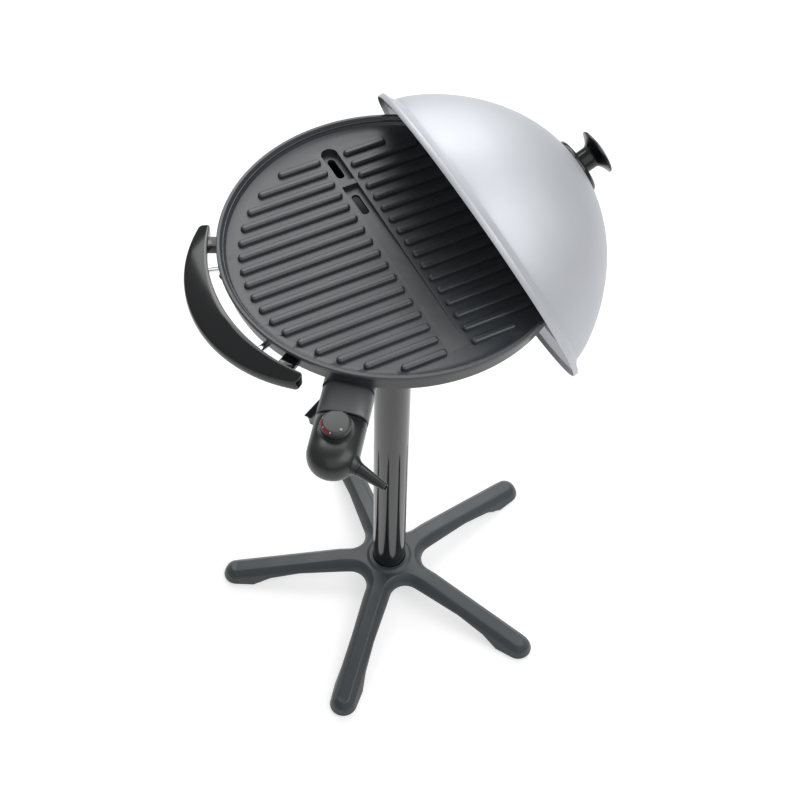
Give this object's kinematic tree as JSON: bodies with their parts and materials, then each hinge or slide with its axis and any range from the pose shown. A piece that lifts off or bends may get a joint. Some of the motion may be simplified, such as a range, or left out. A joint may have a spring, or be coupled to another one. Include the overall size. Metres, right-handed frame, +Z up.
{
  "type": "electric stand grill",
  "caption": "Pedestal electric grill: ribbed round plate with drain slots on a column and star base, side handles, plug-in dial thermostat, and a loose dome lid parked over a handle.",
  "frame": {"origin": "on the floor, on the column's axis", "axes": "+Z up; +X along the line of the two handles, towards the parked lid; +Y along the drain channel, towards its slots"},
  "size_m": [0.543, 0.5301, 0.9052],
  "materials": {
    "grey_plastic": "fine matt dark grey",
    "foot_rubber": "matt",
    "column_paint": "gloss black paint",
    "dark_plastic": "satin black",
    "case_plastic": "satin black",
    "gloss_black": "gloss black",
    "dial_plastic": "satin grey",
    "coated_cast": "dark grey non-stick coating",
    "element_steel": "dull heat-resistant sheath",
    "contact_brass": "bright",
    "steel": "zinc plated",
    "bright_steel": "polished",
    "reflector_sheet": "bright sheet",
    "tray_sheet": "dark coated sheet",
    "lid_metal": "satin silver"
  },
  "bodies": {
    "stand": {"star_base": "grey_plastic", "foot_pads": "foot_rubber", "column_tube": "column_paint", "column_cap": "dark_plastic", "column_insert": "dark_plastic", "hub_washer": "steel", "hub_bolt": "steel"},
    "grill_head": {"grill_plate": "coated_cast", "heating_element": "element_steel", "element_clips": "element_steel", "terminal_pins": "steel", "base_pan": "dark_plastic", "heat_reflector": "reflector_sheet", "pan_screws": "steel", "table_stand": "grey_plastic", "table_pads": "foot_rubber", "stand_screws": "steel", "handle_left": "gloss_black", "handle_right": "gloss_black", "handle_stubs": "bright_steel", "handle_screws": "steel", "socket_shroud": "gloss_black", "shroud_screws": "steel", "tray_rails": "steel", "rail_screws": "steel"},
    "thermostat": {"thermostat_upper_case": "case_plastic", "thermostat_lower_case": "case_plastic", "case_screws": "steel", "plug_nose": "dark_plastic", "contact_sleeves": "contact_brass", "sensor_rod": "steel", "thermostat_switch": "dark_plastic", "dial_ring": "case_plastic", "cord_sleeve": "case_plastic"},
    "dial": {"dial": "dial_plastic", "dial_spindle": "steel"},
    "drip_tray": {"drip_tray": "tray_sheet"},
    "lid": {"lid_dome": "lid_metal", "knob_shield": "gloss_black", "lid_knob": "gloss_black", "knob_washer": "steel", "knob_screw": "steel"}
  },
  "joints": [
    {"name": "head_lift", "type": "slide", "parent": "stand", "child": "grill_head", "axis": [0, 0, 1], "range_m": [0, 0.1]},
    {"name": "lid_lift", "type": "slide", "parent": "grill_head", "child": "lid", "axis": [0.9205, 0, 0.3907], "range_m": [0, 0.24]},
    {"name": "thermostat_pull", "type": "slide", "parent": "grill_head", "child": "thermostat", "axis": [-0.6225, -0.7826, 0], "range_m": [0, 0.11]},
    {"name": "dial_turn", "type": "hinge", "parent": "thermostat", "child": "dial", "pos_m": [-0.17446, -0.19153, 0.75], "axis": [0, 0, -1], "range_deg": [0, 280]},
    {"name": "tray_slide", "type": "slide", "parent": "grill_head", "child": "drip_tray", "axis": [0, 1, 0], "range_m": [0, 0.16]}
  ]
}
